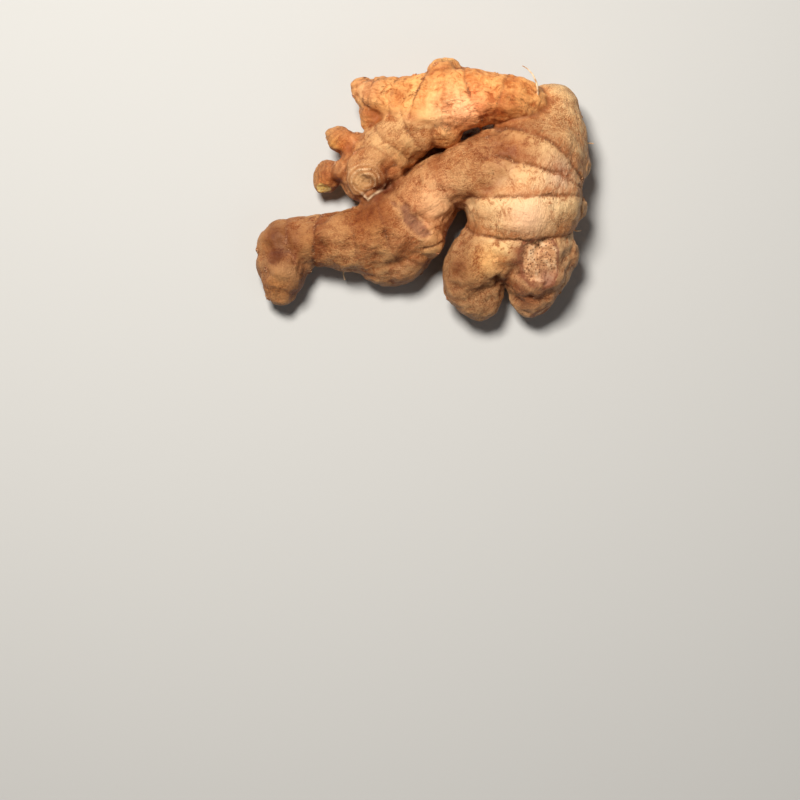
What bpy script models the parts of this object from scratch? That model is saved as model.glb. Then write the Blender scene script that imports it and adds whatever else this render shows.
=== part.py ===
"""Ginger root: one hand of a ginger rhizome, as dug and washed, lying as it rests on a table.

Metres, +Z up. The origin is on the table, under the middle of the rhizome's outline. +X runs
from the finger tips to the thick main stem, and +Y from the lower finger to the upper one.
The whole root grew as one piece, so it is one solid: its lobes are drawn as overlapping
closed forms and then fused under one skin.
"""

import math

import bmesh
import bpy
from mathutils import Matrix, Vector

MM = 0.001
NAME = "ginger_rhizome"

# Driving dimensions, in millimetres. A lobe is a swollen tube through its stations, each
# (x, y, z, half width, half height): z is the height of the tube's middle above the table,
# the half width is measured level, across the tube, and the half height across both. The
# finger chin is the bulge low on the upper finger's near side, and the finger web is the low
# seam along which that finger has grown against the rest.
LOBES = {
    "main_stem": (
        (34.8, 22.0, 12.5, 7.8, 7.4),
        (34.6, 19.3, 12.6, 10.0, 9.4),
        (32.8, 13.8, 12.8, 13.2, 12.4),
        (30.5, 7.7, 13.5, 14.2, 13.8),
        (28.6, 1.7, 14.0, 15.0, 14.2),
        (27.2, -4.7, 14.0, 15.8, 14.2),
        (26.0, -9.5, 13.4, 15.2, 13.2),
        (25.4, -12.8, 12.8, 13.4, 11.2),
    ),
    "upper_finger": (
        (27.0, 22.6, 17.0, 6.8, 7.2),
        (22.5, 23.9, 17.5, 6.9, 7.4),
        (17.0, 24.3, 17.8, 7.5, 7.8),
        (11.5, 23.8, 17.5, 8.7, 8.6),
        (6.0, 22.8, 16.8, 9.0, 8.8),
        (0.5, 22.2, 15.8, 8.9, 8.4),
        (-5.0, 23.0, 14.5, 7.6, 7.6),
        (-10.5, 24.7, 13.5, 6.2, 6.6),
        (-15.0, 25.8, 12.5, 4.7, 5.2),
    ),
    "finger_chin": (
        (5.0, 21.0, 16.8, 7.4, 7.2),
        (5.2, 17.2, 16.3, 6.2, 6.6),
    ),
    "finger_web": (
        (20.0, 15.0, 6.8, 4.5, 5.2),
        (10.0, 12.0, 6.0, 4.5, 4.6),
        (4.0, 10.0, 6.0, 4.5, 4.6),
        (-2.0, 6.0, 6.5, 4.5, 5.2),
        (-8.0, 2.0, 6.5, 4.4, 5.2),
        (-13.0, 1.0, 6.0, 4.0, 5.2),
    ),
    "bud_branch": (
        (0.5, 19.2, 15.5, 7.6, 7.6),
        (-5.5, 15.2, 14.0, 7.8, 8.3),
        (-10.5, 10.5, 11.8, 7.8, 9.6),
        (-15.0, 5.6, 10.3, 7.8, 10.9),
        (-17.0, 2.8, 9.8, 6.3, 8.8),
    ),
    "lower_finger": (
        (22.0, 3.6, 13.6, 13.8, 13.3),
        (16.0, 3.7, 13.2, 12.0, 12.4),
        (11.5, 3.3, 12.7, 9.2, 11.5),
        (7.0, 2.0, 12.0, 8.0, 10.8),
        (3.0, -0.6, 11.2, 8.4, 10.4),
        (-1.0, -4.8, 10.2, 10.0, 10.2),
        (-8.5, -10.8, 9.5, 10.5, 9.8),
        (-16.0, -13.5, 9.0, 9.5, 9.3),
        (-24.0, -14.0, 8.5, 8.2, 8.7),
        (-31.0, -14.0, 8.0, 6.9, 7.8),
        (-37.2, -14.8, 7.5, 7.0, 7.5),
        (-41.0, -15.8, 7.0, 5.8, 6.6),
    ),
    "end_lobe": (
        (-38.2, -14.6, 7.5, 7.0, 7.5),
        (-38.9, -20.5, 7.2, 7.7, 7.5),
        (-39.6, -25.0, 6.8, 6.4, 6.6),
        (-40.2, -28.0, 6.2, 4.1, 4.9),
    ),
    "stem_foot_left": (
        (19.8, -15.5, 11.5, 10.2, 11.2),
        (14.6, -20.5, 10.2, 9.2, 10.3),
        (12.4, -24.6, 9.2, 7.8, 9.0),
        (14.7, -28.3, 8.6, 7.3, 7.4),
    ),
    "stem_foot_right": (
        (30.4, -15.5, 12.0, 10.2, 11.6),
        (30.6, -21.5, 10.8, 9.9, 10.6),
        (30.3, -26.0, 9.5, 8.7, 8.8),
        (30.0, -29.6, 8.5, 6.4, 5.8),
    ),
    "spur": (
        (0.5, -7.5, 11.0, 5.6, 8.0),
        (1.8, -11.5, 10.8, 4.3, 7.4),
        (2.4, -14.6, 10.4, 3.6, 6.8),
    ),
    "finger_belly": (
        (-3.0, -14.0, 8.0, 5.5, 7.0),
        (-6.5, -19.5, 7.0, 6.5, 7.0),
        (-13.0, -19.5, 7.0, 6.0, 6.8),
    ),
}

# Knobs are buds and stubs no longer than they are wide, each an ellipsoid:
# (x, y, z, half length along X, along Y, along Z).
KNOBS = (
    (-23.6, 14.0, 11.0, 4.1, 4.2, 4.8),
    (-19.5, 11.8, 10.5, 4.6, 4.2, 4.8),
    (-27.0, 3.8, 7.5, 4.2, 4.7, 4.7),
    (-22.6, 5.0, 10.0, 3.4, 3.6, 5.6),
    (5.4, 31.2, 15.5, 4.7, 4.4, 4.8),
    (9.5, 29.8, 16.0, 5.8, 3.4, 4.8),
    (-11.8, 28.2, 14.2, 3.4, 3.0, 3.8),
    (-16.5, 28.0, 13.0, 3.2, 2.8, 3.4),
    (-14.0, 20.5, 12.0, 4.5, 5.0, 5.0),
    (43.2, 6.2, 12.0, 3.8, 3.6, 5.2),
    (41.6, -5.4, 12.5, 3.6, 4.0, 5.4),
    (39.8, -17.5, 12.0, 3.9, 4.3, 4.9),
    (36.8, -24.0, 11.0, 3.9, 3.8, 4.8),
    (-14.9, -1.8, 11.8, 3.2, 3.6, 5.4),
    (-9.8, 4.8, 12.8, 4.4, 3.8, 6.4),
)

STATION_STEP = 1.2
RING_POINTS = 28
CAP_RINGS = 6
KNOB_SEGMENTS = 20
SKIN_VOXEL = 1.2
SKIN_PASSES = 5
SKIN_KEPT_SHARE = 0.30

SKIN_COLOUR = (0.60, 0.30, 0.11, 1.0)
SKIN_ROUGHNESS = 0.55


def clear_scene():
    """Removes whatever the file opened with."""
    for obj in list(bpy.data.objects):
        bpy.data.objects.remove(obj)


def between(before, start, end, after, t):
    """Catmull-Rom value of one quantity, t of the way from start to end."""
    slope_start = (end - before) / 2
    slope_end = (after - start) / 2
    return (
        (2 * t**3 - 3 * t**2 + 1) * start
        + (t**3 - 2 * t**2 + t) * slope_start
        + (3 * t**2 - 2 * t**3) * end
        + (t**3 - t**2) * slope_end
    )


def smooth_stations(stations):
    """The lobe's stations with more read between them, about STATION_STEP apart."""
    rows = [stations[0], *stations, stations[-1]]
    path = []
    for before, start, end, after in zip(rows, rows[1:], rows[2:], rows[3:]):
        span = math.dist(start[:3], end[:3])
        steps = max(2, round(span / STATION_STEP))
        for i in range(steps):
            t = i / steps
            path.append([between(*values, t) for values in zip(before, start, end, after)])
    path.append(list(stations[-1]))
    return path


def tube_rings(path):
    """(centre, tangent, half width, half height) along the tube, its round ends included."""
    centres = [Vector(row[:3]) for row in path]
    rings = []
    for i, row in enumerate(path):
        tangent = (centres[min(i + 1, len(path) - 1)] - centres[max(i - 1, 0)]).normalized()
        rings.append((centres[i], tangent, row[3], row[4]))
    first, last = rings[0], rings[-1]
    head, tail = [], []
    for k in range(1, CAP_RINGS):
        angle = k / CAP_RINGS * math.pi / 2
        shrink, reach = math.cos(angle), math.sin(angle)
        for end, sign, capped in ((first, -1, head), (last, 1, tail)):
            centre, tangent, wide, high = end
            away = tangent * sign * reach * min(wide, high)
            capped.append((centre + away, tangent, wide * shrink, high * shrink))
    return head[::-1] + rings + tail


def add_lobe(bm, stations):
    """Adds one closed swollen tube to bm."""
    rings = tube_rings(smooth_stations(stations))
    loops = []
    for centre, tangent, wide, high in rings:
        across = tangent.cross(Vector((0, 0, 1))).normalized()
        upright = across.cross(tangent)
        loop = []
        for k in range(RING_POINTS):
            angle = 2 * math.pi * k / RING_POINTS
            offset = across * wide * math.cos(angle) + upright * high * math.sin(angle)
            loop.append(bm.verts.new((centre + offset) * MM))
        loops.append(loop)
    for near, far in zip(loops, loops[1:]):
        for k in range(RING_POINTS):
            n = (k + 1) % RING_POINTS
            bm.faces.new((near[k], near[n], far[n], far[k]))
    bm.faces.new(loops[0][::-1])
    bm.faces.new(loops[-1])


def add_knob(bm, x, y, z, half_x, half_y, half_z):
    """Adds one closed ellipsoid to bm."""
    place = Matrix.Translation(Vector((x, y, z)) * MM)
    stretch = Matrix.Diagonal((half_x * MM, half_y * MM, half_z * MM, 1))
    bmesh.ops.create_uvsphere(
        bm, u_segments=KNOB_SEGMENTS, v_segments=KNOB_SEGMENTS // 2, radius=1,
        matrix=place @ stretch,
    )


def lobes_mesh():
    """Every lobe and knob as closed forms that run into each other."""
    bm = bmesh.new()
    for stations in LOBES.values():
        add_lobe(bm, stations)
    for knob in KNOBS:
        add_knob(bm, *knob)
    bmesh.ops.recalc_face_normals(bm, faces=bm.faces)
    mesh = bpy.data.meshes.new(NAME)
    bm.to_mesh(mesh)
    bm.free()
    return mesh


def fuse_under_one_skin(obj):
    """Fuses the lobes, softens the valleys between them and thins out the facets."""
    skin = obj.modifiers.new("fuse", "REMESH")
    skin.mode = "VOXEL"
    skin.voxel_size = SKIN_VOXEL * MM
    soften = obj.modifiers.new("soften", "SMOOTH")
    soften.factor = 0.5
    soften.iterations = SKIN_PASSES
    thin = obj.modifiers.new("thin_out", "DECIMATE")
    thin.ratio = SKIN_KEPT_SHARE
    graph = bpy.context.evaluated_depsgraph_get()
    fused = bpy.data.meshes.new_from_object(obj.evaluated_get(graph))
    obj.modifiers.clear()
    obj.data = fused


def rest_on_table(mesh):
    """Centres the outline on the origin and flattens what would sink into the table."""
    xs = [v.co.x for v in mesh.vertices]
    ys = [v.co.y for v in mesh.vertices]
    middle = Vector(((min(xs) + max(xs)) / 2, (min(ys) + max(ys)) / 2, 0))
    for vertex in mesh.vertices:
        vertex.co -= middle
        vertex.co.z = max(vertex.co.z, 0.0)


def skin_material():
    """Thin tan ginger skin."""
    material = bpy.data.materials.new("ginger_skin")
    material.use_nodes = True
    shader = material.node_tree.nodes["Principled BSDF"]
    shader.inputs["Base Color"].default_value = SKIN_COLOUR
    shader.inputs["Roughness"].default_value = SKIN_ROUGHNESS
    shader.inputs["Metallic"].default_value = 0.0
    return material


def build_rhizome():
    """The whole root as one object."""
    rhizome = bpy.data.objects.new(NAME, lobes_mesh())
    bpy.context.scene.collection.objects.link(rhizome)
    fuse_under_one_skin(rhizome)
    rest_on_table(rhizome.data)
    rhizome.data.materials.append(skin_material())
    rhizome.data.shade_smooth()
    return rhizome


clear_scene()
build_rhizome()
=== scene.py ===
import math

import bmesh
import bpy
import numpy as np
from mathutils import Matrix, Vector, noise


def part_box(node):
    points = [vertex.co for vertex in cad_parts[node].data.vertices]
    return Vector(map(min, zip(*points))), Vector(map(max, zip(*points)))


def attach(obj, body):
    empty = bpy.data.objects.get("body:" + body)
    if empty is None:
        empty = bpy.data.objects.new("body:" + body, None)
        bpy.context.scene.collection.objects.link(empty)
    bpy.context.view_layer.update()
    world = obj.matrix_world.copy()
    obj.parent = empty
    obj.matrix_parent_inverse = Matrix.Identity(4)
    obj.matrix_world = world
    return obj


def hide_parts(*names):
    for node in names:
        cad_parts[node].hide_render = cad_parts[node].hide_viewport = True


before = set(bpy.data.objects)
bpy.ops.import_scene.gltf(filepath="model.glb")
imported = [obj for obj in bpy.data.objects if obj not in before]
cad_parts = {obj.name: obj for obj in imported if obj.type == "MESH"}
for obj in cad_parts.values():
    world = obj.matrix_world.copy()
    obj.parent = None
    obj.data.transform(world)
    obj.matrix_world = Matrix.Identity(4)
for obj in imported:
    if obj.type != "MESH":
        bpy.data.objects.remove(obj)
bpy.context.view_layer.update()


# ========================================
# The rhizome. One hand of fresh ginger, washed: a thick main stem with two feet, two fingers,
# a bud branch and a scatter of short knobs. It grew as one piece under one thin corky skin,
# so every swelling here is fused into a single closed body.

MM = 0.001

# Each lobe is a swollen tube through (x, y, z, half width, half height) stations, in
# millimetres; z is the height of the tube's middle above the table.
LOBES = {
    "main_stem": (
        (34.8, 22, 12.5, 7.8, 7.4), (34.6, 19.3, 12.6, 10, 9.4), (32.8, 13.8, 12.8, 13.2, 12.4),
        (30.5, 7.7, 13.5, 14.2, 13.8), (28.6, 1.7, 14, 15, 14.2), (27.2, -4.7, 14, 15.8, 14.2),
        (26, -9.5, 13.4, 15.2, 13.2), (25.4, -12.8, 12.8, 13.4, 11.2),
    ),
    "upper_finger": (
        (27, 22.6, 17, 6.8, 7.2), (22.5, 23.9, 17.5, 6.9, 7.4), (17, 24.3, 17.8, 7.5, 7.8),
        (11.5, 23.8, 17.5, 8.7, 8.6), (6, 22.8, 16.8, 9, 8.8), (0.5, 22.2, 15.8, 8.9, 8.4),
        (-5, 23, 14.5, 7.6, 7.6), (-10.5, 24.7, 13.5, 6.2, 6.6), (-15, 25.8, 12.5, 4.7, 5.2),
    ),
    "finger_chin": (
        (5, 21, 16.8, 7.4, 7.2), (5.2, 17.2, 16.3, 6.2, 6.6),
    ),
    "finger_web": (
        (20, 15, 6.8, 4.5, 5.2), (10, 12, 6, 4.5, 4.6), (4, 10, 6, 4.5, 4.6),
        (-2, 6, 6.5, 4.5, 5.2), (-8, 2, 6.5, 4.4, 5.2), (-13, 1, 6, 4, 5.2),
    ),
    "bud_branch": (
        (0.5, 19.2, 15.5, 7.6, 7.6), (-5.5, 15.2, 14, 7.8, 8.3), (-10.5, 10.5, 11.8, 7.8, 9.6),
        (-15, 5.6, 10.3, 7.8, 10.9), (-17, 2.8, 9.8, 6.3, 8.8),
    ),
    "lower_finger": (
        (22, 3.6, 13.6, 13.8, 13.3), (16, 3.7, 13.2, 12, 12.4), (11.5, 3.3, 12.7, 9.2, 11.5),
        (7, 2, 12, 8, 10.8), (3, -0.6, 11.2, 8.4, 10.4), (-1, -4.8, 10.2, 10, 10.2),
        (-8.5, -10.8, 9.5, 10.5, 9.8), (-16, -13.5, 9, 9.5, 9.3), (-24, -14, 8.5, 8.2, 8.7),
        (-31, -14, 8, 6.9, 7.8), (-37.2, -14.8, 7.5, 7, 7.5), (-41, -15.8, 7, 5.8, 6.6),
    ),
    "end_lobe": (
        (-38.2, -14.6, 7.5, 7, 7.5), (-38.9, -20.5, 7.2, 7.7, 7.5), (-39.6, -25, 6.8, 6.4, 6.6),
        (-40.2, -28, 6.2, 4.1, 4.9),
    ),
    "stem_foot_left": (
        (19.8, -15.5, 11.5, 10.2, 11.2), (14.6, -20.5, 10.2, 9.2, 10.3), (12.4, -24.6, 9.2, 7.8, 9),
        (14.7, -28.3, 8.6, 7.3, 7.4),
    ),
    "stem_foot_right": (
        (30.4, -15.5, 12, 10.2, 11.6), (30.6, -21.5, 10.8, 9.9, 10.6), (30.3, -26, 9.5, 8.7, 8.8),
        (30, -29.6, 8.5, 6.4, 5.8),
    ),
    "spur": ((0.5, -7.5, 11, 5.6, 8), (1.8, -11.5, 10.8, 4.3, 7.4), (2.4, -14.6, 10.4, 3.6, 6.8)),
    "finger_belly": ((-3, -14, 8, 5.5, 7), (-6.5, -19.5, 7, 6.5, 7), (-13, -19.5, 7, 6, 6.8)),
}

# Knobs are buds and stubs: (x, y, z, half length along X, along Y, along Z).
KNOBS = (
    (-23.6, 14, 11, 4.1, 4.2, 4.8), (-19.5, 11.8, 10.5, 4.6, 4.2, 4.8), (-27, 3.8, 7.5, 4.2, 4.7, 4.7),
    (-22.6, 5, 10, 3.4, 3.6, 5.6), (5.4, 31.2, 15.5, 4.7, 4.4, 4.8), (9.5, 29.8, 16, 5.8, 3.4, 4.8),
    (-11.8, 28.2, 14.2, 3.4, 3, 3.8), (-16.5, 28, 13, 3.2, 2.8, 3.4), (-14, 20.5, 12, 4.5, 5, 5),
    (43.2, 6.2, 12, 3.8, 3.6, 5.2), (41.6, -5.4, 12.5, 3.6, 4, 5.4), (39.8, -17.5, 12, 3.9, 4.3, 4.9),
    (36.8, -24, 11, 3.9, 3.8, 4.8), (-14.9, -1.8, 11.8, 3.2, 3.6, 5.4),
    (-9.8, 4.8, 12.8, 4.4, 3.8, 6.4),
)

# How finely the lobes are drawn and fused: millimetres, and points or rings of points.
STATION_STEP = 0.8
RING_POINTS = 48
CAP_RINGS = 10
KNOB_POINTS = 32
SKIN_VOXEL = 0.455


def add_object(name, data):
    """Adds an object to the scene."""
    added = bpy.data.objects.new(name, data)
    bpy.context.scene.collection.objects.link(added)
    return added


def make_plain(piece):
    """The plain mesh that the piece's modifiers make, put in their place."""
    made = bpy.data.meshes.new_from_object(piece.evaluated_get(bpy.context.evaluated_depsgraph_get()))
    piece.modifiers.clear()
    piece.data = made
    made.name = piece.name
    return made


def lengths(rows):
    """How long each row is."""
    return np.linalg.norm(rows, axis=1)


def between(before, start, end, after, t):
    """Catmull-Rom value of the rows, t of the way from start to end."""
    slope_start = (end - before) / 2
    slope_end = (after - start) / 2
    return (
        (2 * t**3 - 3 * t**2 + 1) * start
        + (t**3 - 2 * t**2 + t) * slope_start
        + (3 * t**2 - 2 * t**3) * end
        + (t**3 - t**2) * slope_end
    )


def smooth_stations(stations):
    """The lobe's stations with more read between them, about STATION_STEP apart."""
    rows = [np.array(row) for row in (stations[0], *stations, stations[-1])]
    path = []
    for before, start, end, after in zip(rows, rows[1:], rows[2:], rows[3:]):
        steps = max(2, round(math.dist(start[:3], end[:3]) / STATION_STEP))
        path += [between(before, start, end, after, i / steps) for i in range(steps)]
    return np.array([*path, rows[-1]])


def directions(path):
    """(tangent, across, upright) at each point of a path: unit vectors, one row each."""
    run = np.gradient(path[:, :3], axis=0)
    tangent = run / lengths(run)[:, None]
    across = np.cross(tangent, (0, 0, 1))
    across /= lengths(across)[:, None]
    return tangent, across, np.cross(across, tangent)


def distance_along(path):
    """How far along a path each of its points is."""
    return np.concatenate([[0], np.cumsum(lengths(np.diff(path[:, :3], axis=0)))])


def add_lobe(bm, stations):
    """Adds one closed swollen tube with round ends to bm."""
    path = smooth_stations(stations)
    tangent, across, upright = directions(path)
    rings = [(path[i, :3], i, 1.0) for i in range(len(path))]
    for k in range(1, CAP_RINGS):
        angle = k / CAP_RINGS * math.pi / 2
        for i, sign in ((0, -1), (len(path) - 1, 1)):
            reach = sign * math.sin(angle) * path[i, 3:].min()
            ring = (path[i, :3] + tangent[i] * reach, i, math.cos(angle))
            rings.insert(0 if sign < 0 else len(rings), ring)
    loops = []
    turn = np.arange(RING_POINTS) * 2 * math.pi / RING_POINTS
    for centre, i, shrink in rings:
        wide, high = path[i, 3:] * shrink
        loop = centre + np.outer(np.cos(turn) * wide, across[i])
        loop += np.outer(np.sin(turn) * high, upright[i])
        loops.append([bm.verts.new(p * MM) for p in loop])
    for near, far in zip(loops, loops[1:]):
        for k in range(RING_POINTS):
            n = (k + 1) % RING_POINTS
            bm.faces.new((near[k], near[n], far[n], far[k]))
    bm.faces.new(loops[0][::-1])
    bm.faces.new(loops[-1])


bm = bmesh.new()
for stations in LOBES.values():
    add_lobe(bm, stations)
for x, y, z, *half in KNOBS:
    place = Matrix.Translation(Vector((x, y, z)) * MM)
    stretch = Matrix.Diagonal((*[h * MM for h in half], 1))
    bmesh.ops.create_uvsphere(
        bm, u_segments=KNOB_POINTS, v_segments=KNOB_POINTS // 2, radius=1, matrix=place @ stretch
    )
bmesh.ops.recalc_face_normals(bm, faces=bm.faces)
mesh = bpy.data.meshes.new("lobes")
bm.to_mesh(mesh)
bm.free()

# The lobes are fused under one skin: what lies inside another lobe is gone.
root = add_object("ginger_skin", mesh)
skin = root.modifiers.new("fuse", "REMESH")
skin.mode = "VOXEL"
skin.voxel_size = SKIN_VOXEL * MM
fused = make_plain(root)

# Bubbles shut in between the lobes are dropped: skin is what joins on to the top of the root.
bm = bmesh.new()
bm.from_mesh(fused)
reached = {max(bm.verts, key=lambda vert: vert.co.z)}
front = list(reached)
while front:
    for edge in front.pop().link_edges:
        for vert in edge.verts:
            if vert not in reached:
                reached.add(vert)
                front.append(vert)
bmesh.ops.delete(bm, geom=[vert for vert in bm.verts if vert not in reached], context="VERTS")
bm.to_mesh(fused)
bm.free()

edges = np.empty(len(fused.edges) * 2, np.int32)
fused.edges.foreach_get("vertices", edges)
edges = edges.reshape(-1, 2)
ends = np.concatenate([edges, edges[:, ::-1]])
neighbours = np.bincount(ends[:, 0], minlength=len(fused.vertices))


def softened(values, passes, share=0.5):
    """Values, one row per skin vertex, with each moved towards its neighbours' mean."""
    flat = values.ndim == 1
    values = values[:, None] if flat else values
    for _ in range(passes):
        columns = [
            np.bincount(ends[:, 0], values[ends[:, 1], c], len(values)) / neighbours
            for c in range(values.shape[1])
        ]
        values = values + (np.stack(columns, 1) - values) * share
    return values[:, 0] if flat else values


def skin_rows(source, name):
    """One row of three per vertex of the skin."""
    flat = np.empty(len(fused.vertices) * 3, np.float32)
    source.foreach_get(name, flat)
    return flat.reshape(-1, 3).astype(float)


def move_skin(points):
    """Puts the skin's vertices at points, in millimetres."""
    fused.vertices.foreach_set("co", (points * MM).astype(np.float32).ravel())
    fused.update()


def outward():
    """The skin's outward direction at each vertex."""
    return skin_rows(fused.vertex_normals, "vector")


# Passes of softening that take off the fusing's steps, and that let lobes grow into each other.
STEP_PASSES = 10
GROWTH_PASSES = 18

points = softened(skin_rows(fused.vertices, "co") / MM, STEP_PASSES)
move_skin(points)

# Where each point is on its lobe: how far along it in millimetres, and how far across and up.
# Near is 1 on a lobe's own surface and grows away from it.
nearness = []
places = []
ways = []
for index, stations in enumerate(LOBES.values()):
    path = smooth_stations(stations)
    tangent, across, upright = directions(path)
    run = distance_along(path)
    squares = (points**2).sum(1)[:, None] - 2 * points @ path[:, :3].T + (path[:, :3] ** 2).sum(1)
    i = squares.argmin(1)
    offset = points - path[i, :3]
    ahead, side, up = [(offset * way[i]).sum(1) for way in (tangent, across, upright)]
    beyond = np.where((i == 0) | (i == len(path) - 1), ahead, 0) / path[i, 3:].min(1)
    nearness.append(np.sqrt((side / path[i, 3]) ** 2 + (up / path[i, 4]) ** 2 + beyond**2))
    places.append(np.stack([run[i] + ahead, side, up], 1))
    ways.append(tangent[i])
owners = []
for x, y, z, *half in KNOBS:
    centre = np.array((x, y, z))
    spans = {
        name: min(math.dist(row[:3], centre) for row in smooth_stations(stations))
        for name, stations in LOBES.items()
    }
    owners.append(min(spans, key=spans.get))
    path = smooth_stations(LOBES[owners[-1]])
    base = path[lengths(path[:, :3] - centre).argmin(), :3]
    way = (centre - base) / np.linalg.norm(centre - base)
    side_way = np.cross(way, (0, 0, 1))
    side_way /= np.linalg.norm(side_way)
    offset = points - centre
    nearness.append(lengths(offset / half))
    places.append(np.stack([offset @ way, offset @ side_way, offset @ np.cross(side_way, way)], 1))
    ways.append(np.tile(way, (len(points), 1)))
nearness = np.array(nearness)
order = np.argsort(nearness, axis=0)
lobe_of = order[0]
ranked = np.sort(nearness, axis=0)
grain = np.array(places)[lobe_of, np.arange(len(points))]
along_lobe = np.array(ways)[lobe_of, np.arange(len(points))]

# The upper finger and its bud branch only lie against the rest, and the two feet of the stem
# against each other, with a sharp crease where both are about as near; other lobes grow into
# their neighbours.
CREASE_REACH = 0.35
LYING = [list(LOBES).index(name) for name in ("upper_finger", "bud_branch")]
FEET = [list(LOBES).index(name) for name in ("stem_foot_left", "stem_foot_right")]
sharp = np.isin(order[0], LYING) != np.isin(order[1], LYING)
sharp |= np.isin(order[0], FEET) & np.isin(order[1], FEET)
creased = softened((sharp & (ranked[1] - ranked[0] < CREASE_REACH)).astype(float), 4)
soft = 0.5 * (1 - creased)[:, None]
for _ in range(GROWTH_PASSES):
    points = softened(points, 1, soft)
move_skin(points)
bare_middle = (points.min(0) + points.max(0)) / 2


def on_lobe(name):
    """1 on the lobe of that name, 0 on the rest of the skin."""
    return (lobe_of == list(LOBES).index(name)).astype(float)


def distance_from(spot):
    """How far each point of the skin is from the point of it nearest to the spot."""
    nearest = lengths(points - np.array(spot)).argmin()
    return lengths(points - points[nearest])


def bumps(at, size, seed, octaves=1):
    """Smooth noise from -1 to 1, with lumps about size millimetres across."""
    shift = Vector((31.7, 17.9, 5.3)) * seed
    return np.array([noise.fractal(Vector(p) / size + shift, 1.0, 2.0, octaves) for p in at])


def rise(values, low, high):
    """0 below low, 1 above high, and a smooth rise between."""
    t = np.clip((values - low) / (high - low), 0, 1)
    return t * t * (3 - 2 * t)


def ridge(values, middle, width):
    """1 at the middle, falling off over width to both sides."""
    return np.exp(-(((values - middle) / width) ** 2))


# Growth rings are the scars of the scale leaves that once wrapped each lobe. Each is
# (millimetres along the lobe, turn in degrees, bow in millimetres, strength).
RINGS = {
    "main_stem": (
        (6.5, 6, -1.5, 0.3), (13.1, 10, -2.3, 1.35), (19.5, 0, -1.2, 1.3), (22.8, -5, -1, 0.2),
        (26.7, -12, 0.3, 1.2), (31.5, -10, 0.8, 0.15), (36, -8, 1.4, 1.3),
    ),
    "upper_finger": (
        (7, 12, 0.8, 0.7), (14, -14, 0.6, 0.9), (21, 5, 0.7, 0.4), (29, 8, 0.6, 0.85),
        (36, -6, 0.5, 0.6), (41, 10, 0.4, 0.8), (45.3, 5, 0.3, 0.7),
    ),
    "bud_branch": ((5, 5, 0.5, 0.6), (10.5, -5, 0.5, 0.8)),
    "lower_finger": (
        (17, 0, 0.5, 0.6), (27.5, -8, 0.6, 0.6), (37, 6, 0.6, 0.75), (46.5, -5, 0.6, 0.55),
        (57.3, 6, 0.7, 1.2), (64.5, -6, 0.6, 0.7), (69, 0, 0.5, 0.6),
    ),
    "end_lobe": ((4, 8, 0.5, 0.35), (8.6, -6, 0.5, 0.15), (12.6, 0, 0.4, 0.25)),
    "stem_foot_left": ((6.5, 10, 1.2, 0.25), (11.5, -12, 1.8, 0.12)),
    "stem_foot_right": ((12.5, 8, 1.2, 0.5),),
    "spur": ((3.5, 5, 0.3, 0.6), (7.5, -5, 0.3, 0.8)),
    "finger_belly": ((4, 0, 0.5, 0.6), (9, 0, 0.5, 0.6)),
}
KNOB_RINGS = ((-0.6, 0.5), (0.9, 0.6), (2.3, 0.6))

# Round the bud's tip: rings (millimetres from the tip, strength), and finer lines between.
BUD_TIP = (-16, 1.5, 18.5)
BUD_RINGS = ((6.2, 0.4), (9.4, 0.7))
BUD_LINES_APART = 1.2

# Across a ring: the lip before it, its groove and the shallow dip behind it, each (height,
# place, width) in millimetres.
RING_PROFILE = ((0.2, -0.9, 0.9), (-0.38, 0.1, 0.4), (-0.1, 0.6, 1.8))

wander = 0.8 * bumps(points, 6.0, 1) + 0.35 * bumps(points, 2.0, 2, 2)
broken = 0.6 + 0.8 * bumps(points, 4.0, 3, 2)
ring_height, ring_line, ring_band, ring_pale = np.zeros((4, len(points)))


def add_ring(away, strength, mask, loose=1.0):
    """A ring where away, the signed distance from it in millimetres, is 0."""
    s = away + wander * loose
    worn = strength * np.clip(broken, 0.15, 1.2) * mask
    step = sum(height * ridge(s, place, width) for height, place, width in RING_PROFILE)
    ring_height[:] += step * worn
    ring_line[:] = np.maximum(ring_line, ridge(s, 0.05, 0.36) * worn)
    ring_band[:] = np.maximum(ring_band, rise(s, -5.5, -0.2) * (s < 0.2) * strength * mask)
    ring_pale[:] = np.maximum(ring_pale, ridge(s, 2.2, 2.2) * (s > 0.2) * strength * mask)


for index, (name, stations) in enumerate(LOBES.items()):
    path = smooth_stations(stations)
    tangent, across, upright = directions(path)
    run = distance_along(path)
    mask = np.maximum(lobe_of == index, 1 - rise(nearness[index], 1.05, 1.2))
    for along, turn, bow, strength in RINGS.get(name, ()):
        i = np.abs(run - along).argmin()
        turn = math.radians(turn)
        facing = tangent[i] * math.cos(turn) + across[i] * math.sin(turn)
        level = np.cross(facing, (0, 0, 1))
        offset = points - path[i, :3]
        away = offset @ facing + bow * (((offset @ level) / path[i, 3]) ** 2 - 0.5)
        add_ring(away, strength, mask)
for index in range(len(LOBES), len(nearness)):
    mask = (lobe_of == index).astype(float)
    for along, strength in KNOB_RINGS:
        add_ring(grain[:, 0] - along, strength, mask)
on_bud = on_lobe("bud_branch")
from_tip = lengths(points - BUD_TIP)
for radius, strength in BUD_RINGS:
    add_ring(from_tip - radius, strength, on_bud, 0.35)

# Where one lobe starts on another there is a scar line too.
apart = softened(ranked[1] - ranked[0], 3)
seam = softened(ridge(apart, 0, 0.07) * (0.35 + 0.65 * sharp), 2)

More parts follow.
